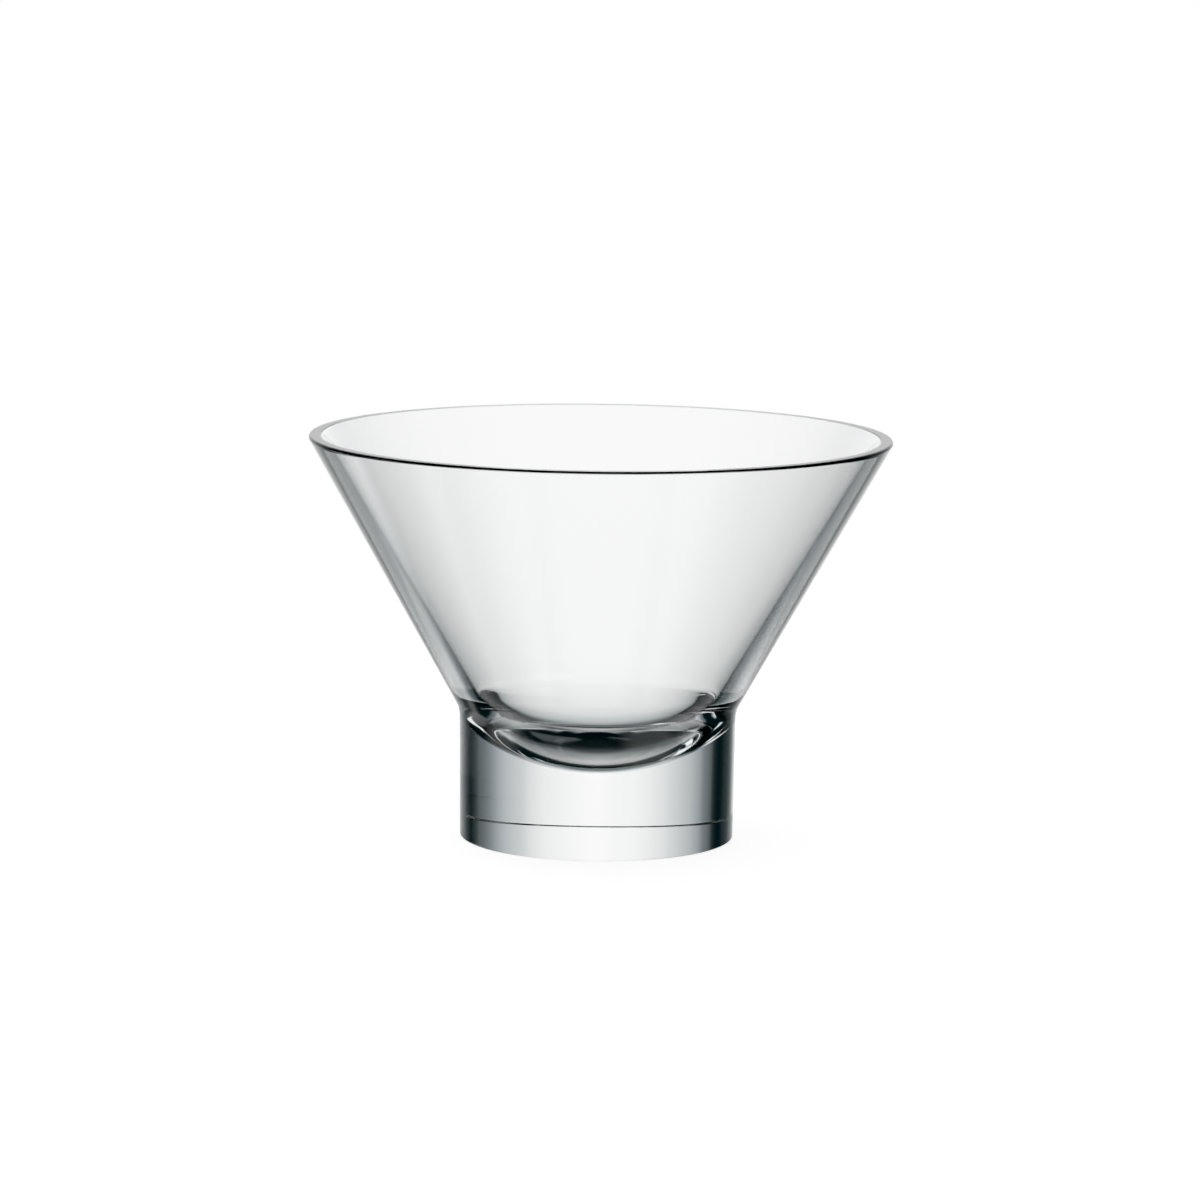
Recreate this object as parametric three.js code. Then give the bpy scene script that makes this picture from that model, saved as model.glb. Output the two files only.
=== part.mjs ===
// A conical glass dessert bowl on a heavy, solid cylindrical foot.
// Millimetres, +Z up. The origin is the centre of the resting face under the foot.
import * as THREE from "three";

// Overall sizes.
const RIM_DIAMETER = 125;
const HEIGHT = 86.9;

// Foot: a solid drafted cylinder with a rounded bottom edge.
const FOOT_DIAMETER = 59.1; // at the resting face, before its edge is rounded
const FOOT_DRAFT_DEGREES = 0.6; // the wall opens upwards by this much
const FOOT_EDGE_RADIUS = 0.4;

// Neck: the foot's wall would meet the cone at this height, and a hollow fillet softens it.
const NECK_HEIGHT = 27.8;
const NECK_FILLET_RADIUS = 7.4;

// Bowl: a straight cone outside and inside, with a round-bottomed cavity and a flat-topped rim.
const WALL_AT_RIM = 2.55; // measured level, at the top
const WALL_AT_NECK = 5.55; // measured level, at the neck's height
const FLOOR_HEIGHT = 15.4; // the cavity's lowest point above the resting face
const ROUND_HEIGHT = 34; // where the cavity's straight wall starts to round into its floor
const ROUND_FULLNESS = 0.63; // how far the rounding follows the wall and the floor, from 0 to 1
const RIM_OUTER_RADIUS = 0.5;
const RIM_INNER_RADIUS = 0.6;

// Seat: the bowl rests on a flat ring round the foot's top, and its round underside sits in a dish.
const BOWL_BOTTOM = 3; // glass under the cavity's lowest point
const LAND_WIDTH = 2.5;
const SEAT_CLEARANCE = 0.3;

// Facets round the axis, and along each rounding of the outline.
const SIDES = 72;
const EDGE_STEPS = 3;
const FILLET_STEPS = 6;
const DISH_STEPS = 8;
const CAVITY_STEPS = 12;

const point = (radius, height) => new THREE.Vector2(radius, height);

// The points of an arc that starts at a point and turns about a centre.
function arc(start, centre, turn, steps) {
  return Array.from({ length: steps + 1 }, (_, i) =>
    start.clone().rotateAround(centre, (turn * i) / steps),
  );
}

// The arc that rounds a corner, touching the legs that run to the points before and after it.
function rounded(before, corner, after, radius, steps) {
  const back = before.clone().sub(corner).normalize();
  const ahead = after.clone().sub(corner).normalize();
  const half = Math.acos(back.dot(ahead)) / 2;
  const middle = back.clone().add(ahead).normalize();
  const centre = corner.clone().addScaledVector(middle, radius / Math.sin(half));
  const start = corner.clone().addScaledVector(back, radius / Math.tan(half));
  const turn = Math.sign(ahead.cross(back)) * (Math.PI - 2 * half);
  return arc(start, centre, turn, steps);
}

// The round cap that is level on the axis at one height and rises to an edge point.
function dish(lowest, edge, steps) {
  const rise = edge.y - lowest;
  const radius = (edge.x ** 2 + rise ** 2) / (2 * rise);
  const centre = point(0, lowest + radius);
  return arc(point(0, lowest), centre, Math.atan2(edge.x, radius - rise), steps);
}

// Corners of the outside, before they are rounded.
const draft = Math.tan(THREE.MathUtils.degToRad(FOOT_DRAFT_DEGREES));
const footCentre = point(0, 0);
const footCorner = point(FOOT_DIAMETER / 2, 0);
const neckCorner = point(FOOT_DIAMETER / 2 + NECK_HEIGHT * draft, NECK_HEIGHT);

// The outer cone leaves the neck and touches the rim's round outer edge, the widest part of the bowl.
const rimEdge = point(RIM_DIAMETER / 2 - RIM_OUTER_RADIUS, HEIGHT - RIM_OUTER_RADIUS);
const toRim = rimEdge.clone().sub(neckCorner);
const flare = Math.atan2(toRim.x, toRim.y) + Math.asin(RIM_OUTER_RADIUS / toRim.length());
const rimCorner = point(neckCorner.x + (HEIGHT - NECK_HEIGHT) * Math.tan(flare), HEIGHT);

// Corners of the inside, set in from the outside by the two walls.
const mouthCorner = point(RIM_DIAMETER / 2 - WALL_AT_RIM, HEIGHT);
const throat = point(neckCorner.x - WALL_AT_NECK, NECK_HEIGHT);

const neck = rounded(footCorner, neckCorner, rimCorner, NECK_FILLET_RADIUS, FILLET_STEPS);
const landOuter = neck[0];
const landInner = point(landOuter.x - LAND_WIDTH, landOuter.y);

// A point on the cavity's straight wall, at a given height.
function onInnerWall(height) {
  return throat.clone().lerp(mouthCorner, (height - NECK_HEIGHT) / (HEIGHT - NECK_HEIGHT));
}

// The round end of the cavity, which leaves the straight wall smoothly and is level on the axis.
function cavityEnd() {
  const start = onInnerWall(ROUND_HEIGHT);
  const corner = onInnerWall(FLOOR_HEIGHT);
  const lowest = point(0, FLOOR_HEIGHT);
  return new THREE.CubicBezierCurve(
    start,
    start.clone().lerp(corner, ROUND_FULLNESS),
    lowest.clone().lerp(corner, ROUND_FULLNESS),
    lowest,
  ).getPoints(CAVITY_STEPS);
}

// The bowl's outline, from its underside on the axis, up the outside and down the inside.
function bowlOutline() {
  const shoulder = point(landInner.x - SEAT_CLEARANCE, landInner.y);
  return [
    ...dish(FLOOR_HEIGHT - BOWL_BOTTOM, shoulder, DISH_STEPS),
    ...neck,
    ...rounded(neckCorner, rimCorner, mouthCorner, RIM_OUTER_RADIUS, EDGE_STEPS),
    ...rounded(rimCorner, mouthCorner, throat, RIM_INNER_RADIUS, EDGE_STEPS),
    ...cavityEnd(),
  ];
}

// The foot's outline, from the middle of its resting face, up its wall and over its dished top.
function footOutline() {
  const top = dish(FLOOR_HEIGHT - BOWL_BOTTOM - SEAT_CLEARANCE, landInner, DISH_STEPS);
  return [
    footCentre,
    ...rounded(footCentre, footCorner, neckCorner, FOOT_EDGE_RADIUS, EDGE_STEPS),
    landOuter,
    ...top.reverse(),
  ];
}

// Clear, colourless glass with a fire-polished face.
function clearGlass() {
  return new THREE.MeshStandardMaterial({
    color: 0xeaf1f0,
    roughness: 0.03,
    metalness: 0,
    transparent: true,
    opacity: 0.4,
  });
}

// A solid turned about +Z from an outline of radii and heights.
function turned(name, outline) {
  const geometry = new THREE.LatheGeometry(outline, SIDES).rotateX(Math.PI / 2);
  const mesh = new THREE.Mesh(geometry, clearGlass());
  mesh.name = name;
  return mesh;
}

const dessertBowl = new THREE.Group();
dessertBowl.name = "dessert_bowl";
dessertBowl.add(turned("bowl", bowlOutline()));
dessertBowl.add(turned("foot", footOutline()));

export default dessertBowl;
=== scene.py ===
"""Looks of a clear glass dessert bowl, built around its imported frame.

The real thing is one body of pressed glass. The bowl and the foot are turned by one geometry
node tree, from outlines that share the same neck, and the faces where they join are clear, so
that light bends only where glass meets air.
"""

import logging
import math
from collections.abc import Mapping
from dataclasses import dataclass, field
from enum import Enum

import bpy
from mathutils import Matrix, Quaternion, Vector


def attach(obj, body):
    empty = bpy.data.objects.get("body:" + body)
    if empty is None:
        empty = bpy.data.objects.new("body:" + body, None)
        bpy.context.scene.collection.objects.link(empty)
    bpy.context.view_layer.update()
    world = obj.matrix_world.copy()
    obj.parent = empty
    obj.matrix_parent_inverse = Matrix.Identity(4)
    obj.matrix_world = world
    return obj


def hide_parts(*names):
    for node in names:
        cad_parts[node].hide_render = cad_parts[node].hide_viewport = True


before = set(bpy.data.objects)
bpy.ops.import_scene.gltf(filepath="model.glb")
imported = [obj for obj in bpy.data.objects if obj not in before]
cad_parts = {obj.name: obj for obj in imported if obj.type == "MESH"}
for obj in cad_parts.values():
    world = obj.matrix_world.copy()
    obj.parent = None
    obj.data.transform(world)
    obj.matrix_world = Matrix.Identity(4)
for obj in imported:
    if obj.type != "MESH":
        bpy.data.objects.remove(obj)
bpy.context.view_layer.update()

LOG = logging.getLogger("dessert_bowl")
MM = 0.001
WHITE = "#FFFFFF"
Outline = list[Vector]

# Keeps the part of a vector that lies level.
LEVEL = (1.0, 1.0, 0.0)

# Tells one bounce or more from none.
ANY_BOUNCE = 0.5

# Places of a colour mix's sockets, whose names it shares with its other kinds.
MIX_SHARE = 0
MIX_FIRST = 6
MIX_SECOND = 7
MIX_RESULT = 2


class Node(Enum):
    """The solids of the frame that the pieces stand for."""

    BOWL = "bowl"
    FOOT = "foot"


class Slot(Enum):
    """The record's material slots."""

    BOWL = "bowl_glass"
    FOOT = "foot_glass"


def linear(colour: str) -> tuple[float, float, float, float]:
    """Turns an sRGB hex colour to linear.

    Args:
        colour: The colour as six hex digits after a hash sign.

    Returns:
        Red, green, blue and an alpha of 1.
    """
    channels = [int(colour[place:place + 2], 16) / 255 for place in (1, 3, 5)]
    light = [c / 12.92 if c <= 0.04045 else ((c + 0.055) / 1.055) ** 2.4 for c in channels]
    return (*light, 1.0)


def add_node(
    tree: bpy.types.NodeTree,
    kind: str,
    inputs: Mapping[str | int, object] | None = None,
    **settings: object,
) -> bpy.types.Node:
    """Adds one node with its settings, values and links.

    Args:
        tree: The tree that gets the node.
        kind: The node's type.
        inputs: For each input, by name or place, a value or the socket that feeds it.
        settings: The node's own properties.

    Returns:
        The new node.
    """
    node = tree.nodes.new(kind)
    for name, setting in settings.items():
        setattr(node, name, setting)
    for place, value in (inputs or {}).items():
        if isinstance(value, bpy.types.NodeSocket):
            tree.links.new(value, node.inputs[place])
        else:
            node.inputs[place].default_value = value
    return node


def calc(tree: bpy.types.NodeTree, operation: str, *values: object) -> bpy.types.NodeSocket:
    """Adds one math node.

    Args:
        tree: The tree that gets the node.
        operation: What it works out.
        values: Its inputs in order, each a number or the socket that feeds it.

    Returns:
        The result.
    """
    return add_node(tree, "ShaderNodeMath", dict(enumerate(values)), operation=operation).outputs[0]


def mix_colours(
    tree: bpy.types.NodeTree, share: bpy.types.NodeSocket, first: object, second: object
) -> bpy.types.NodeSocket:
    """Adds one mix of two colours.

    Args:
        tree: The tree that gets the node.
        share: How much of the second colour there is, from 0 to 1.
        first: The first colour, or the socket that feeds it.
        second: The second colour, or the socket that feeds it.

    Returns:
        The mixed colour.
    """
    inputs = {MIX_SHARE: share, MIX_FIRST: first, MIX_SECOND: second}
    return add_node(tree, "ShaderNodeMix", inputs, data_type="RGBA").outputs[MIX_RESULT]


def blank_material(name: str) -> bpy.types.Material:
    """Makes a material with an empty tree.

    Args:
        name: The material's name.

    Returns:
        The material.
    """
    made = bpy.data.materials.new(name)
    made.use_nodes = True
    made.node_tree.nodes.clear()
    return made


def point(radius: float, height: float) -> Vector:
    """A point of an outline: its distance from the axis and its height, in millimetres."""
    return Vector((radius, height))


def arc(start: Vector, centre: Vector, turn: float, steps: int) -> Outline:
    """Makes the points of an arc.

    Args:
        start: Where the arc begins.
        centre: The point it turns about.
        turn: The angle it covers, in radians, positive from radius towards height.
        steps: How many stretches it is split into.

    Returns:
        The arc's points, both ends included.
    """
    spoke = start - centre
    return [centre + Matrix.Rotation(turn * i / steps, 2) @ spoke for i in range(steps + 1)]


def rounded(before: Vector, corner: Vector, after: Vector, radius: float, steps: int) -> Outline:
    """Rounds a corner with an arc that touches both legs.

    Args:
        before: A point on the leg that comes in.
        corner: The sharp corner.
        after: A point on the leg that goes out.
        radius: The arc's radius.
        steps: How many stretches the arc is split into.

    Returns:
        The arc's points, both ends included.
    """
    back = (before - corner).normalized()
    ahead = (after - corner).normalized()
    half = math.acos(back.dot(ahead)) / 2
    centre = corner + (back + ahead).normalized() * (radius / math.sin(half))
    start = corner + back * (radius / math.tan(half))
    side = math.copysign(1, ahead.x * back.y - ahead.y * back.x)
    return arc(start, centre, side * (math.pi - 2 * half), steps)


def between(start: Vector, end: Vector, steps: int) -> Outline:
    """Splits a straight run, closely near its ends so that shading stays true beside an arc.

    Args:
        start: Where the run begins.
        end: Where the run stops.
        steps: How many stretches it is split into.

    Returns:
        The points between the two ends, without them.
    """
    shares = [(1 - math.cos(math.pi * i / steps)) / 2 for i in range(1, steps)]
    return [start.lerp(end, share) for share in shares]


def bend(start: Vector, corner: Vector, end: Vector, fullness: float, steps: int) -> Outline:
    """Makes a smooth cubic curve that leaves and arrives along the two legs of a corner.

    Args:
        start: Where the curve begins.
        corner: Where the two legs would meet.
        end: Where the curve stops.
        fullness: How much of each leg the curve's handles cover.
        steps: How many stretches it is split into.

    Returns:
        The curve's points, both ends included.
    """
    first = start.lerp(corner, fullness)
    second = end.lerp(corner, fullness)
    shares = [i / steps for i in range(steps + 1)]
    return [
        start * (1 - t) ** 3 + first * (3 * t * (1 - t) ** 2) + second * (3 * t**2 * (1 - t)) + end * t**3
        for t in shares
    ]


def dish(lowest: float, edge: Vector, steps: int) -> Outline:
    """Makes a round cap that is level on the axis and rises to an edge.

    Args:
        lowest: The cap's height on the axis.
        edge: The point where it ends.
        steps: How many stretches it is split into.

    Returns:
        The cap's points from the axis outwards, both ends included.
    """
    rise = edge.y - lowest
    radius = (edge.x**2 + rise**2) / (2 * rise)
    return arc(point(0, lowest), point(0, lowest + radius), math.atan2(edge.x, radius - rise), steps)


@dataclass(frozen=True)
class Silhouette:
    """Sizes that the bowl and the foot share, in millimetres: the outside and the seat between them."""

    rim_diameter: float = 125.0
    height: float = 86.9
    rim_outer_radius: float = 0.5
    foot_diameter: float = 59.1
    foot_draft_degrees: float = 0.6
    neck_height: float = 27.8
    neck_fillet_radius: float = 7.4
    seat_lowest: float = 12.4
    seat_clearance: float = 0.3
    land_width: float = 2.5
    fillet_steps: int = 40
    dish_steps: int = 32
    land_steps: int = 4

    def foot_corner(self) -> Vector:
        """The sharp corner of the foot's wall and its resting face."""
        return point(self.foot_diameter / 2, 0)

    def neck_corner(self) -> Vector:
        """The sharp corner of the foot's wall and the cone."""
        opening = self.neck_height * math.tan(math.radians(self.foot_draft_degrees))
        return point(self.foot_diameter / 2 + opening, self.neck_height)

    def rim_corner(self) -> Vector:
        """The sharp outer corner of the rim, on a cone that touches the rim's round edge."""
        neck = self.neck_corner()
        middle = point(self.rim_diameter / 2, self.height) - point(1, 1) * self.rim_outer_radius
        to_rim = middle - neck
        flare = math.atan2(to_rim.x, to_rim.y) + math.asin(self.rim_outer_radius / to_rim.length)
        return point(neck.x + (self.height - neck.y) * math.tan(flare), self.height)

    def neck(self) -> Outline:
        """The hollow fillet from the foot's wall to the cone, from below upwards."""
        return rounded(
            self.foot_corner(),
            self.neck_corner(),
            self.rim_corner(),
            self.neck_fillet_radius,
            self.fillet_steps,
        )

    def land(self) -> tuple[Vector, Vector]:
        """The inner and outer ends of the flat ring that the bowl rests on."""
        outer = self.neck()[0]
        return point(outer.x - self.land_width, outer.y), outer


@dataclass(frozen=True)
class PressedGlass:
    """Soda-lime glass, pressed in a polished mould and fire-polished.

    It is colourless and very clear: the eye gets the bent picture of what stands around it, with
    sharp dark and bright bands at the neck and along the edges. The face is all but mirror-smooth,
    with a faint ripple from the mould, and the resting edge is scuffed by the table.
    """

    name: str = "pressed_soda_lime_glass"
    tint: str = WHITE
    ior: float = 1.5
    ripple_mm: float = 14.0
    ripple_detail: float = 1.0
    ripple_height_mm: float = 0.004
    polish: tuple[float, float] = (0.0, 0.006)
    scuff_mm: float = 0.8
    scuff_detail: float = 4.0
    scuff_grain: tuple[float, float] = (0.35, 0.75)
    scuff_roughness: float = 0.5
    scuff_height_mm: tuple[float, float] = (0.05, 0.35)
    scuff_radius_mm: tuple[float, float] = (27.5, 28.8)

    def material(self) -> bpy.types.Material:
        """Builds the material, with its ripple, its polish and its scuffed edge."""
        made = blank_material(self.name)
        tree = made.node_tree
        place = add_node(tree, "ShaderNodeTexCoord").outputs["Object"]
        ripple = add_node(
            tree,
            "ShaderNodeTexNoise",
            {"Vector": place, "Scale": 1 / (self.ripple_mm * MM), "Detail": self.ripple_detail},
        )
        face = add_node(
            tree,
            "ShaderNodeBump",
            {"Height": ripple.outputs["Fac"], "Strength": 1.0, "Distance": self.ripple_height_mm * MM},
        )
        glass = add_node(
            tree,
            "ShaderNodeBsdfPrincipled",
            {
                "Base Color": linear(self.tint),
                "Roughness": self.roughness(tree, place, ripple.outputs["Fac"]),
                "IOR": self.ior,
                "Transmission Weight": 1.0,
                "Normal": face.outputs["Normal"],
            },
        )
        add_node(tree, "ShaderNodeOutputMaterial", {"Surface": glass.outputs["BSDF"]})
        return made

    def roughness(
        self, tree: bpy.types.NodeTree, place: bpy.types.NodeSocket, ripple: bpy.types.NodeSocket
    ) -> bpy.types.NodeSocket:
        """Adds the face's roughness: an even fire polish, and fine scuffs where the foot rests.

        Args:
            tree: The material's tree.
            place: The spot on the piece, in metres.
            ripple: The mould's ripple, from 0 to 1.

        Returns:
            The roughness.
        """
        low, high = self.polish
        polish = add_node(tree, "ShaderNodeMapRange", {"Value": ripple, "To Min": low, "To Max": high})
        height = add_node(tree, "ShaderNodeSeparateXYZ", {"Vector": place}).outputs["Z"]
        level = add_node(tree, "ShaderNodeVectorMath", {0: place, 1: LEVEL}, operation="MULTIPLY")
        radius = add_node(tree, "ShaderNodeVectorMath", {0: level.outputs["Vector"]}, operation="LENGTH")
        low, high = self.scuff_height_mm
        resting = add_node(
            tree,
            "ShaderNodeMapRange",
            {"Value": height, "From Min": high * MM, "From Max": low * MM},
            interpolation_type="SMOOTHSTEP",
        )
        inner, outer = self.scuff_radius_mm
        ring = add_node(
            tree,
            "ShaderNodeMapRange",
            {
                "Value": radius.outputs["Value"],
                "From Min": inner * MM,
                "From Max": outer * MM,
                "To Max": resting.outputs["Result"],
            },
            interpolation_type="SMOOTHSTEP",
        )
        grain = add_node(
            tree,
            "ShaderNodeTexNoise",
            {"Vector": place, "Scale": 1 / (self.scuff_mm * MM), "Detail": self.scuff_detail},
        )
        low, high = self.scuff_grain
        scuffs = add_node(
            tree,
            "ShaderNodeMapRange",
            {
                "Value": grain.outputs["Fac"],
                "From Min": low,
                "From Max": high,
                "To Max": self.scuff_roughness,
            },
        )
        return calc(
            tree,
            "MULTIPLY_ADD",
            ring.outputs["Result"],
            scuffs.outputs["Result"],
            polish.outputs["Result"],
        )


@dataclass(frozen=True)
class FusedJoint:
    """The joint inside the glass, where two bodies of the same glass meet and light runs straight on."""

    name: str = "fused_glass_joint"

    def material(self) -> bpy.types.Material:
        """Builds the material: fully clear, with no gloss of its own."""
        made = blank_material(self.name)
        tree = made.node_tree
        clear = add_node(tree, "ShaderNodeBsdfTransparent", {"Color": linear(WHITE)})
        add_node(tree, "ShaderNodeOutputMaterial", {"Surface": clear.outputs["BSDF"]})
        return made


@dataclass
class Lathe:
    """Turns outlines about the axis into closed skins, with one geometry node tree."""

    sides: int = 256
    weld_mm: float = 0.001
    crease_degrees: float = 30.0
    tree: bpy.types.NodeTree = field(init=False)

    def __post_init__(self) -> None:
        """Builds the tree once, for every outline that follows."""
        self.tree = self.turning_tree()

    def turning_tree(self) -> bpy.types.NodeTree:
        """Builds the tree that wraps a grid round the axis and pulls each row to its outline point.

        Returns:
            The tree, whose joint rows are the first rows of the outline.
        """
        tree = bpy.data.node_groups.new("turned_glass", "GeometryNodeTree")
        sockets = {
            "Outline": "NodeSocketGeometry",
            "Sides": "NodeSocketInt",
            "Weld distance": "NodeSocketFloat",
            "Crease angle": "NodeSocketFloat",
            "Joint rows": "NodeSocketInt",
            "Turn faces over": "NodeSocketBool",
            "Glass": "NodeSocketMaterial",
            "Joint": "NodeSocketMaterial",
        }
        for name, kind in sockets.items():
            tree.interface.new_socket(name=name, in_out="INPUT", socket_type=kind)
        tree.interface.new_socket(name="Skin", in_out="OUTPUT", socket_type="NodeSocketGeometry")
        given = add_node(tree, "NodeGroupInput").outputs
        index = add_node(tree, "GeometryNodeInputIndex").outputs["Index"]

        # One row for each outline point, and one column more than the sides, to close the ring.
        rows = add_node(
            tree, "GeometryNodeAttributeDomainSize", {"Geometry": given["Outline"]}, component="MESH"
        )
        columns = calc(tree, "ADD", given["Sides"], 1.0)
        grid = add_node(
            tree,
            "GeometryNodeMeshGrid",
            {"Vertices X": rows.outputs["Point Count"], "Vertices Y": columns},
        )

        # Faces of the first rows are marked before the weld renumbers them.
        face_row = calc(tree, "DIVIDE", index, given["Sides"])
        in_joint = add_node(
            tree,
            "FunctionNodeCompare",
            {"A": face_row, "B": given["Joint rows"]},
            data_type="FLOAT",
            operation="LESS_THAN",
        )
        marked = add_node(
            tree, "GeometryNodeCaptureAttribute", {"Geometry": grid.outputs["Mesh"]}, domain="FACE"
        )
        marked.capture_items.new("BOOLEAN", "Joint face")
        tree.links.new(in_joint.outputs["Result"], marked.inputs["Joint face"])

        # Each grid point takes the radius and height of its row, and the angle of its column.
        row = calc(tree, "DIVIDE", index, columns)
        whole_row = calc(tree, "FLOOR", row)
        column = calc(tree, "MODULO", index, columns)
        spot = add_node(tree, "GeometryNodeInputPosition")
        sample = add_node(
            tree,
            "GeometryNodeSampleIndex",
            {"Geometry": given["Outline"], "Value": spot.outputs["Position"], "Index": whole_row},
            data_type="FLOAT_VECTOR",
            domain="POINT",
        )
        outline = add_node(tree, "ShaderNodeSeparateXYZ", {"Vector": sample.outputs["Value"]})
        share = calc(tree, "DIVIDE", column, given["Sides"])
        angle = calc(tree, "MULTIPLY", share, math.tau)
        cosine = calc(tree, "COSINE", angle)
        sine = calc(tree, "SINE", angle)
        across = calc(tree, "MULTIPLY", outline.outputs["X"], cosine)
        along = calc(tree, "MULTIPLY", outline.outputs["X"], sine)
        turned = add_node(
            tree, "ShaderNodeCombineXYZ", {"X": across, "Y": along, "Z": outline.outputs["Z"]}
        )
        wrapped = add_node(
            tree,
            "GeometryNodeSetPosition",
            {"Geometry": marked.outputs["Geometry"], "Position": turned.outputs["Vector"]},
        )

        # The weld closes the ring and draws each pole together.
        welded = add_node(
            tree,
            "GeometryNodeMergeByDistance",
            {"Geometry": wrapped.outputs["Geometry"], "Distance": given["Weld distance"]},
        )
        faced = add_node(
            tree,
            "GeometryNodeFlipFaces",
            {"Mesh": welded.outputs["Geometry"], "Selection": given["Turn faces over"]},
        )
        smooth = add_node(
            tree, "GeometryNodeSetShadeSmooth", {"Geometry": faced.outputs["Mesh"]}, domain="FACE"
        )
        fold = add_node(tree, "GeometryNodeInputMeshEdgeAngle")
        sharp = add_node(
            tree,
            "FunctionNodeCompare",
            {"A": fold.outputs["Unsigned Angle"], "B": given["Crease angle"]},
            data_type="FLOAT",
            operation="GREATER_THAN",
        )
        creased = add_node(
            tree,
            "GeometryNodeSetShadeSmooth",
            {
                "Geometry": smooth.outputs["Geometry"],
                "Selection": sharp.outputs["Result"],
                "Shade Smooth": False,
            },
            domain="EDGE",
        )
        real = add_node(tree, "GeometryNodeRealizeInstances", {"Geometry": creased.outputs["Geometry"]})
        glazed = add_node(
            tree,
            "GeometryNodeSetMaterial",
            {"Geometry": real.outputs["Geometry"], "Material": given["Glass"]},
        )
        joined = add_node(
            tree,
            "GeometryNodeSetMaterial",
            {
                "Geometry": glazed.outputs["Geometry"],
                "Selection": marked.outputs["Joint face"],
                "Material": given["Joint"],
            },
        )
        add_node(tree, "NodeGroupOutput", {"Skin": joined.outputs["Geometry"]})
        return tree

    def turn(self, name: str, outline: Outline, **inputs: object) -> bpy.types.Object:
        """Turns one outline into a plain mesh object.

        Args:
            name: The piece's name.
            outline: Its points in millimetres, from the axis back to the axis.
            inputs: The tree's other inputs, by name with underscores for spaces.

        Returns:
            The piece, at the origin, with no modifier left on it.
        """
        mesh = bpy.data.meshes.new(name + "_outline")
        places = [(p.x * MM, 0.0, p.y * MM) for p in outline]
        mesh.from_pydata(places, [(i, i + 1) for i in range(len(places) - 1)], [])
        piece = bpy.data.objects.new(name, mesh)
        bpy.context.scene.collection.objects.link(piece)
        lathe = piece.modifiers.new("turned", "NODES")
        lathe.node_group = self.tree
        values = {
            "Sides": self.sides,
            "Weld distance": self.weld_mm * MM,
            "Crease angle": math.radians(self.crease_degrees),
        }
        values.update({key.replace("_", " "): value for key, value in inputs.items()})
        for socket in self.tree.interface.items_tree:
            if socket.in_out == "INPUT" and socket.name in values:
                lathe[socket.identifier] = values[socket.name]
        depsgraph = bpy.context.evaluated_depsgraph_get()
        skin = bpy.data.meshes.new_from_object(piece.evaluated_get(depsgraph), depsgraph=depsgraph)
        piece.modifiers.remove(lathe)
        piece.data = skin
        skin.name = name
        # A grid made by nodes brings one empty material slot.
        skin.materials.pop(index=skin.materials[:].index(None))
        bpy.data.meshes.remove(mesh)
        return piece


@dataclass
class Bowl:
    """The conical bowl with its round-bottomed cavity. Sizes are in millimetres."""

    outside: Silhouette
    wall_at_rim: float = 2.55
    wall_at_neck: float = 5.55
    floor_height: float = 15.4
    round_height: float = 34.0
    round_fullness: float = 0.63
    rim_inner_radius: float = 0.6
    edge_steps: int = 12
    cone_steps: int = 32
    rim_steps: int = 10
    round_steps: int = 72

    def on_inner_wall(self, height: float) -> Vector:
        """The point of the cavity's straight wall at a height."""
        top = point(self.outside.rim_diameter / 2 - self.wall_at_rim, self.outside.height)
        throat = self.outside.neck_corner() - point(self.wall_at_neck, 0)
        return throat.lerp(top, (height - throat.y) / (top.y - throat.y))

    def underside(self) -> Outline:
        """The faces that meet the foot: the round underside and the flat ring."""
        land_inner, land_outer = self.outside.land()
        shoulder = land_inner - point(self.outside.seat_clearance, 0)
        cap = dish(self.outside.seat_lowest, shoulder, self.outside.dish_steps)
        return cap + between(shoulder, land_outer, self.outside.land_steps)

    def outline(self) -> Outline:
        """The outline from the underside, up the outside, over the rim and down the cavity."""
        outside = self.outside
        neck = outside.neck()
        mouth = self.on_inner_wall(outside.height)
        outer_edge = rounded(
            outside.neck_corner(), outside.rim_corner(), mouth, outside.rim_outer_radius, self.edge_steps
        )
        start = self.on_inner_wall(self.round_height)
        inner_edge = rounded(outside.rim_corner(), mouth, start, self.rim_inner_radius, self.edge_steps)
        cavity_end = bend(
            start,
            self.on_inner_wall(self.floor_height),
            point(0, self.floor_height),
            self.round_fullness,
            self.round_steps,
        )
        return [
            *self.underside(),
            *neck,
            *between(neck[-1], outer_edge[0], self.cone_steps),
            *outer_edge,
            *between(outer_edge[-1], inner_edge[0], self.rim_steps),
            *inner_edge,
            *between(inner_edge[-1], start, self.cone_steps),
            *cavity_end,
        ]

    def build(self, lathe: Lathe, glass: bpy.types.Material, joint: bpy.types.Material) -> bpy.types.Object:
        """Turns the bowl, dresses it and puts it in the frame.

        Args:
            lathe: The lathe to turn it on.
            glass: Its material where it meets air.
            joint: Its material where it meets the foot.

        Returns:
            The finished piece.
        """
        piece = lathe.turn(
            "glass_bowl",
            self.outline(),
            Joint_rows=len(self.underside()),
            Turn_faces_over=True,
            Glass=glass,
            Joint=joint,
        )
        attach(piece, "root")
        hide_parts(Node.BOWL.value)
        return piece


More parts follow.
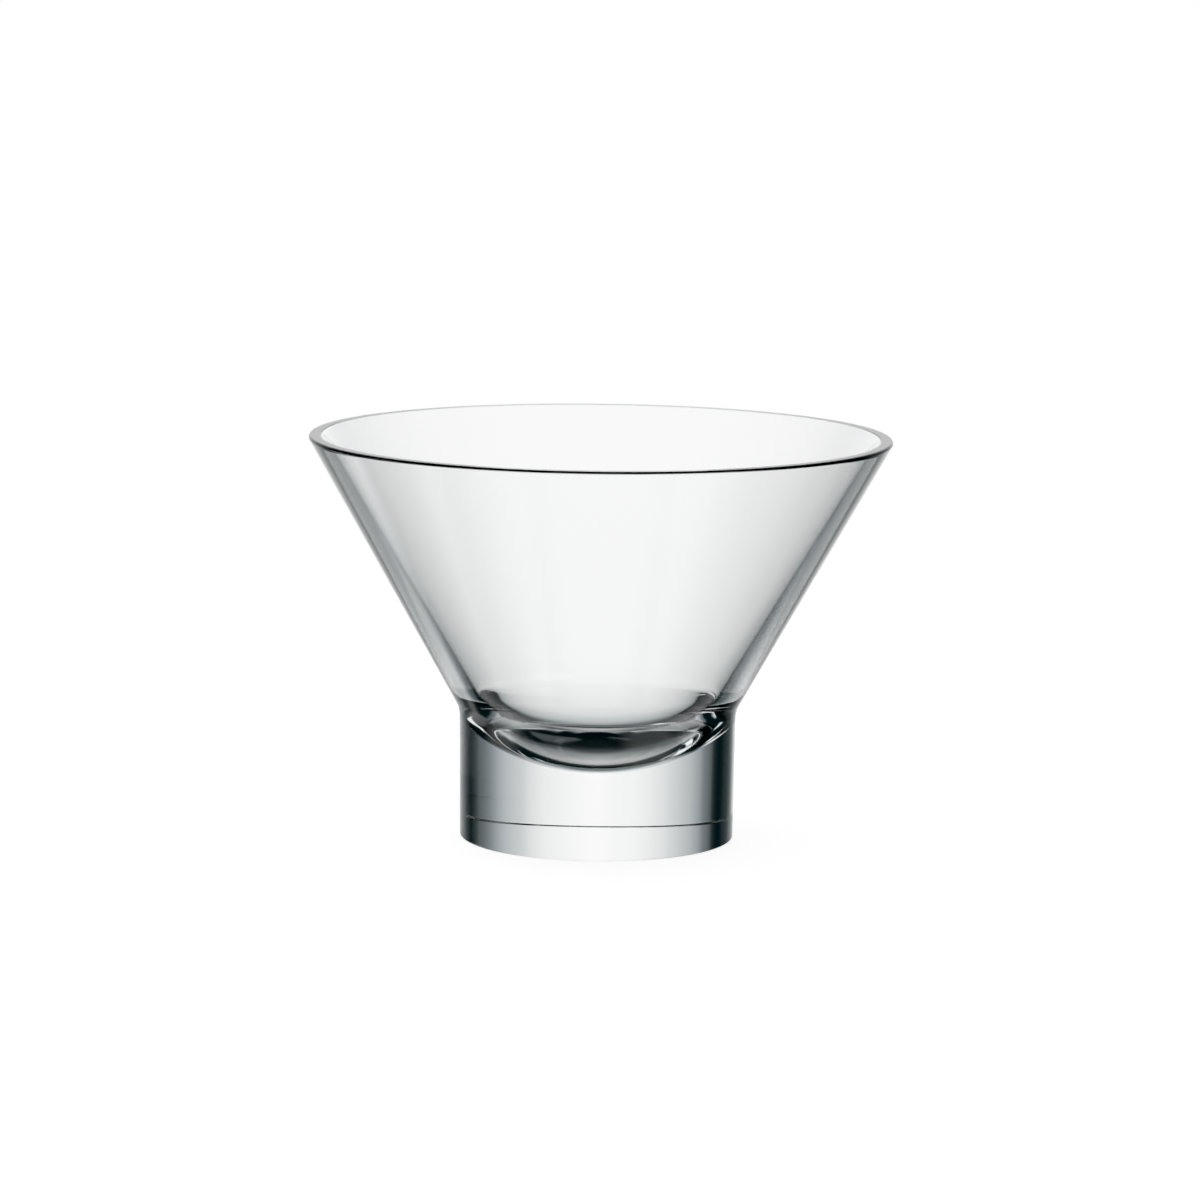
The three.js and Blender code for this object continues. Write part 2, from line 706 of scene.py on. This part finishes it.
@dataclass
class Foot:
    """The heavy solid foot with the dished seat on top. Sizes are in millimetres."""

    outside: Silhouette
    edge_radius: float = 0.4
    edge_steps: int = 12
    wall_steps: int = 24
    base_steps: int = 16

    def seat(self) -> Outline:
        """The faces that meet the bowl: the dish and the flat ring."""
        land_inner, land_outer = self.outside.land()
        lowest = self.outside.seat_lowest - self.outside.seat_clearance
        cap = dish(lowest, land_inner, self.outside.dish_steps)
        return cap + between(land_inner, land_outer, self.outside.land_steps)

    def outline(self) -> Outline:
        """The outline from the seat, over the flat ring, down the wall and in along the resting face."""
        top = self.outside.land()[1]
        centre = point(0, 0)
        edge = rounded(top, self.outside.foot_corner(), centre, self.edge_radius, self.edge_steps)
        return [
            *self.seat(),
            top,
            *between(top, edge[0], self.wall_steps),
            *edge,
            *between(edge[-1], centre, self.base_steps),
            centre,
        ]

    def build(self, lathe: Lathe, glass: bpy.types.Material, joint: bpy.types.Material) -> bpy.types.Object:
        """Turns the foot, dresses it and puts it in the frame.

        Args:
            lathe: The lathe to turn it on.
            glass: Its material where it meets air.
            joint: Its material where it meets the bowl.

        Returns:
            The finished piece.
        """
        piece = lathe.turn(
            "glass_foot",
            self.outline(),
            Joint_rows=len(self.seat()),
            Turn_faces_over=False,
            Glass=glass,
            Joint=joint,
        )
        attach(piece, "root")
        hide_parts(Node.FOOT.value)
        return piece


@dataclass(frozen=True)
class Panel:
    """A lit panel near the bowl, as the directions it fills, in degrees.

    Its edges are soft: they fade sideways and blur upright.
    """

    azimuth: tuple[float, float]
    elevation: tuple[float, float]
    level: float
    fade: float = 20.0
    blur: float = 5.0


@dataclass(frozen=True)
class Surroundings:
    """What stands around the bowl, as levels of white by direction in degrees.

    Azimuth 0 is straight behind the bowl as the camera sees it, and it grows to the right.
    A tall lit strip of backdrop stands behind, and grows narrower down on the table. Smaller
    lit panels stand on other sides and lie low in front. Everything between them is dark.
    """

    by_azimuth: tuple[tuple[float, float], ...] = (
        (-180, 0.0),
        (-51, 0.0),
        (-47, 0.04),
        (-43, 0.16),
        (-38, 0.3),
        (-33, 0.47),
        (-27, 0.62),
        (-22, 0.7),
        (-16, 0.79),
        (-10, 0.88),
        (-5, 0.95),
        (0, 1.0),
        (5, 0.965),
        (10, 0.91),
        (16, 0.83),
        (22, 0.69),
        (27, 0.54),
        (32, 0.39),
        (38, 0.24),
        (43, 0.16),
        (48, 0.1),
        (52, 0.05),
        (56, 0.0),
        (180, 0.0),
    )
    by_elevation: tuple[tuple[float, float], ...] = (
        (-90, 0.0),
        (-70, 0.02),
        (-60, 0.15),
        (-52, 0.57),
        (-44, 0.74),
        (-40, 0.79),
        (-37, 0.82),
        (-33, 0.89),
        (-25, 0.94),
        (-14, 0.97),
        (-8, 1.0),
        (30, 1.0),
        (40, 0.8),
        (50, 0.45),
        (60, 0.22),
        (75, 0.03),
        (90, 0.0),
    )
    narrowing: tuple[tuple[float, float], ...] = (
        (-90, 1.5),
        (-30, 1.4),
        (-20, 1.3),
        (-12, 1.0),
        (90, 1.0),
    )
    panels: tuple[Panel, ...] = (
        Panel((-78, -30), (-35, -13), 0.95, fade=15),
        Panel((-72, -28), (-80, -48), 0.15, fade=15),
        Panel((-118, -68), (-52, 8), 0.95),
        Panel((104, 166), (-60, 26), 0.95),
        Panel((80, 260), (-69, -48), 0.72, fade=40, blur=3),
        Panel((-260, -80), (-69, -48), 0.72, fade=40, blur=3),
        Panel((105, 260), (-78, -66), 0.72, fade=40, blur=3),
        Panel((-260, -105), (-78, -66), 0.72, fade=40, blur=3),
    )
    lit: float = 1.03
    tones: tuple[tuple[float, str], ...] = (
        (0.0, "#001316"),
        (0.1, "#525A5B"),
        (0.33, "#959C9F"),
        (0.7, "#D7DADA"),
        (1.0, WHITE),
    )
    fill: float = 0.4

    def ramp(
        self,
        tree: bpy.types.NodeTree,
        angle: bpy.types.NodeSocket,
        levels: tuple[tuple[float, float], ...],
        course: str = "LINEAR",
    ) -> bpy.types.NodeSocket:
        """Adds a ramp of levels over an angle.

        Args:
            tree: The world's tree.
            angle: The angle, in radians.
            levels: Angles in degrees with their levels; the first and last are the range's ends.
            course: How the ramp runs between its stops.

        Returns:
            The level.
        """
        low, high = levels[0][0], levels[-1][0]
        share = add_node(
            tree,
            "ShaderNodeMapRange",
            {"Value": angle, "From Min": math.radians(low), "From Max": math.radians(high)},
        )
        ramp = add_node(tree, "ShaderNodeValToRGB", {"Fac": share.outputs["Result"]})
        greys = [((degrees - low) / (high - low), (level, level, level, 1.0)) for degrees, level in levels]
        self.fill_ramp(ramp, greys, course)
        return ramp.outputs["Color"]

    def fill_ramp(
        self,
        ramp: bpy.types.Node,
        colours: list[tuple[float, tuple[float, float, float, float]]],
        course: str,
    ) -> None:
        """Gives a ramp its stops.

        Args:
            ramp: The ramp's node.
            colours: Places from 0 to 1, in order, with their linear colours.
            course: How the ramp runs between its stops.
        """
        ramp.color_ramp.interpolation = course
        stops = ramp.color_ramp.elements
        while len(stops) > 1:
            stops.remove(stops[-1])
        for i, (place, colour) in enumerate(colours):
            stop = stops[0] if i == 0 else stops.new(place)
            stop.position = place
            stop.color = colour

    def within(
        self, tree: bpy.types.NodeTree, angle: bpy.types.NodeSocket, ends: tuple[float, float], blur: float
    ) -> bpy.types.NodeSocket:
        """Adds a soft-edged test of whether an angle lies between two ends.

        Args:
            tree: The world's tree.
            angle: The angle, in radians.
            ends: The two ends, in degrees.
            blur: How wide the soft edges are, in degrees.

        Returns:
            1 inside, 0 outside.
        """
        middle = math.radians(sum(ends) / 2)
        half = math.radians(ends[1] - ends[0]) / 2
        off = calc(tree, "SUBTRACT", angle, middle)
        apart = calc(tree, "ABSOLUTE", off)
        inside = add_node(
            tree,
            "ShaderNodeMapRange",
            {"Value": apart, "From Min": half, "From Max": half - math.radians(blur)},
            interpolation_type="SMOOTHSTEP",
        )
        return inside.outputs["Result"]

    def build(self) -> None:
        """Builds the world: white for the camera, even light for the floor, and the studio for the glass."""
        world = bpy.data.worlds.new("studio")
        bpy.context.scene.world = world
        world.use_nodes = True
        tree = world.node_tree
        tree.nodes.clear()
        direction = add_node(tree, "ShaderNodeTexCoord").outputs["Generated"]
        axes = add_node(tree, "ShaderNodeSeparateXYZ", {"Vector": direction}).outputs
        azimuth = calc(tree, "ARCTAN2", axes["X"], axes["Y"])
        elevation = calc(tree, "ARCSINE", axes["Z"])
        squeeze = self.ramp(tree, elevation, self.narrowing)
        aside = calc(tree, "MULTIPLY", azimuth, squeeze)
        around = self.ramp(tree, aside, self.by_azimuth, "CARDINAL")
        upward = self.ramp(tree, elevation, self.by_elevation)
        level = calc(tree, "MULTIPLY", around, upward)
        for panel in self.panels:
            across = self.within(tree, azimuth, panel.azimuth, panel.fade)
            upright = self.within(tree, elevation, panel.elevation, panel.blur)
            covered = calc(tree, "MULTIPLY", across, upright)
            level = calc(tree, "MULTIPLY_ADD", covered, panel.level, level)
        toned = add_node(tree, "ShaderNodeValToRGB", {"Fac": level})
        self.fill_ramp(toned, [(place, linear(colour)) for place, colour in self.tones], "CARDINAL")
        room = add_node(
            tree,
            "ShaderNodeVectorMath",
            {0: toned.outputs["Color"], "Scale": self.lit},
            operation="SCALE",
        )
        ray = add_node(tree, "ShaderNodeLightPath").outputs
        on_floor = calc(tree, "GREATER_THAN", ray["Diffuse Depth"], ANY_BOUNCE)
        even = (self.fill, self.fill, self.fill, 1.0)
        filled = mix_colours(tree, on_floor, room.outputs["Vector"], even)
        seen = mix_colours(tree, ray["Is Camera Ray"], filled, linear(WHITE))
        light = add_node(tree, "ShaderNodeBackground", {"Color": seen, "Strength": 1.0})
        add_node(tree, "ShaderNodeOutputWorld", {"Surface": light.outputs["Background"]})


@dataclass
class Studio:
    """The floor, the lamp and the camera. Lengths are in metres, and angles in degrees."""

    surroundings: Surroundings
    floor_side: float = 8.0
    floor_gap: float = 0.00005
    floor_colour: str = "#F4F4F4"
    floor_lift: float = 0.68
    shadow_reach: tuple[float, float] = (0.12, 0.4)
    # Painted shade under the foot, seen only by the glass: within this radius, blurred over the second
    # value, the table passes on only the level below.
    painted_shade_reach: tuple[float, float] = (0.0284, 0.0004)
    painted_shade_level: float = 0.52
    camera_distance: float = 1.0513
    camera_elevation: float = 8.9707
    camera_target: tuple[float, float, float] = (0.0, 0.0, 0.045)
    camera_roll: float = 0.7103
    target_pixel: tuple[float, float] = (598.653, 628.986)
    focal_pixels: float = 4880.8
    picture_side: float = 1200.0
    sensor_mm: float = 36.0
    camera_reach: float = 100.0
    lamp_side: float = 0.8
    lamp_watts: float = 1.5
    lamp_place: tuple[float, float, float] = (-0.3, 0.25, 1.2)
    light_bounces: int = 6
    clear_bounces: int = 32

    def floor(self) -> None:
        """Lays a plain white floor, which the glass sees through to its surroundings, with painted shade
        close under the foot.
        """
        half = self.floor_side / 2
        mesh = bpy.data.meshes.new("floor")
        corners = [(-half, -half), (half, -half), (half, half), (-half, half)]
        mesh.from_pydata([(x, y, -self.floor_gap) for x, y in corners], [], [(0, 1, 2, 3)])
        floor = bpy.data.objects.new("floor", mesh)
        bpy.context.scene.collection.objects.link(floor)
        mesh.materials.append(self.floor_paper())

    def floor_paper(self) -> bpy.types.Material:
        """Matt white paper that takes the bowl's soft shadow nearby and fades to plain white."""
        made = blank_material("white_backdrop_paper")
        tree = made.node_tree
        place = add_node(tree, "ShaderNodeTexCoord").outputs["Object"]
        distance = add_node(tree, "ShaderNodeVectorMath", {0: place}, operation="LENGTH")
        near, far = self.shadow_reach
        away = add_node(
            tree,
            "ShaderNodeMapRange",
            {"Value": distance.outputs["Value"], "From Min": near, "From Max": far},
            interpolation_type="SMOOTHSTEP",
        )
        matt = add_node(tree, "ShaderNodeBsdfDiffuse", {"Color": linear(self.floor_colour)})
        lift = add_node(tree, "ShaderNodeEmission", {"Color": linear(WHITE), "Strength": self.floor_lift})
        near_paper = add_node(tree, "ShaderNodeAddShader", {0: matt.outputs[0], 1: lift.outputs[0]})
        white = add_node(tree, "ShaderNodeEmission", {"Color": linear(WHITE), "Strength": 1.0})
        paper = add_node(
            tree,
            "ShaderNodeMixShader",
            {0: away.outputs["Result"], 1: near_paper.outputs[0], 2: white.outputs[0]},
        )
        ray = add_node(tree, "ShaderNodeLightPath").outputs
        from_glass = calc(tree, "MAXIMUM", ray["Is Transmission Ray"], ray["Is Glossy Ray"])
        through = self.painted_shade_beneath(tree, distance.outputs["Value"])
        surface = add_node(
            tree, "ShaderNodeMixShader", {0: from_glass, 1: paper.outputs[0], 2: through}
        )
        add_node(tree, "ShaderNodeOutputMaterial", {"Surface": surface.outputs[0]})
        return made

    def painted_shade_beneath(
        self, tree: bpy.types.NodeTree, distance: bpy.types.NodeSocket
    ) -> bpy.types.NodeSocket:
        """Adds what the glass shows of the table: clear to the studio, and darkened by painted shade close
        under the foot, where the contact shade falls.

        Args:
            tree: The floor material's tree.
            distance: How far a spot is from the middle.

        Returns:
            The shader.
        """
        # Painted shade: inside the ring the table dims what the glass sees through it.
        edge, blur = self.painted_shade_reach
        lit = add_node(
            tree,
            "ShaderNodeMapRange",
            {"Value": distance, "From Min": edge - blur, "From Max": edge, "To Min": self.painted_shade_level},
        )
        clear = add_node(tree, "ShaderNodeBsdfTransparent", {"Color": lit.outputs["Result"]})
        return clear.outputs[0]

    def camera(self) -> None:
        """Sets the camera at the photo's angle, aimed so that the target falls on its pixel."""
        lens = bpy.data.cameras.new("camera")
        lens.sensor_width = self.sensor_mm
        lens.lens = self.focal_pixels / self.picture_side * self.sensor_mm
        lens.clip_end = self.camera_reach
        eye = bpy.data.objects.new("camera", lens)
        bpy.context.scene.collection.objects.link(eye)
        bpy.context.scene.camera = eye
        rise = math.radians(self.camera_elevation)
        target = Vector(self.camera_target)
        back = Vector((0, -math.cos(rise), math.sin(rise)))
        eye.location = target + back * self.camera_distance
        roll = Quaternion((0, 0, 1), math.radians(self.camera_roll))
        turn = (-back).to_track_quat("-Z", "Y") @ roll
        metres_per_pixel = self.camera_distance / self.focal_pixels
        middle = self.picture_side / 2
        column, row = self.target_pixel
        aside = Vector((middle - column, row - middle, 0)) * metres_per_pixel
        aim = target + turn @ aside
        eye.rotation_mode = "QUATERNION"
        eye.rotation_quaternion = (aim - eye.location).to_track_quat("-Z", "Y") @ roll

    def lamp(self) -> None:
        """Hangs one broad soft lamp over the table, for the floor's shadow."""
        light = bpy.data.lights.new("soft_lamp", "AREA")
        light.size = self.lamp_side
        light.energy = self.lamp_watts
        lamp = bpy.data.objects.new("soft_lamp", light)
        lamp.location = self.lamp_place
        lamp.rotation_mode = "QUATERNION"
        lamp.rotation_quaternion = (-Vector(lamp.location)).to_track_quat("-Z", "Y")
        lamp.visible_glossy = False
        lamp.visible_transmission = False
        bpy.context.scene.collection.objects.link(lamp)

    def build(self) -> None:
        """Builds the whole studio."""
        scene = bpy.context.scene
        scene.view_settings.view_transform = "Standard"
        scene.cycles.max_bounces = self.light_bounces
        scene.cycles.transmission_bounces = self.light_bounces
        scene.cycles.glossy_bounces = self.light_bounces
        scene.cycles.transparent_max_bounces = self.clear_bounces
        self.surroundings.build()
        self.floor()
        self.lamp()
        self.camera()


def main() -> None:
    """Builds the studio and the pieces, and reports each one."""
    logging.basicConfig(level=logging.INFO, format="%(message)s")
    Studio(Surroundings()).build()
    silhouette = Silhouette()
    lathe = Lathe()
    glass = PressedGlass().material()
    joint = FusedJoint().material()
    for part in (Bowl(silhouette), Foot(silhouette)):
        piece = part.build(lathe, glass, joint)
        LOG.info("%s: %d faces", piece.name, len(piece.data.polygons))


if __name__ == "__main__":
    main()
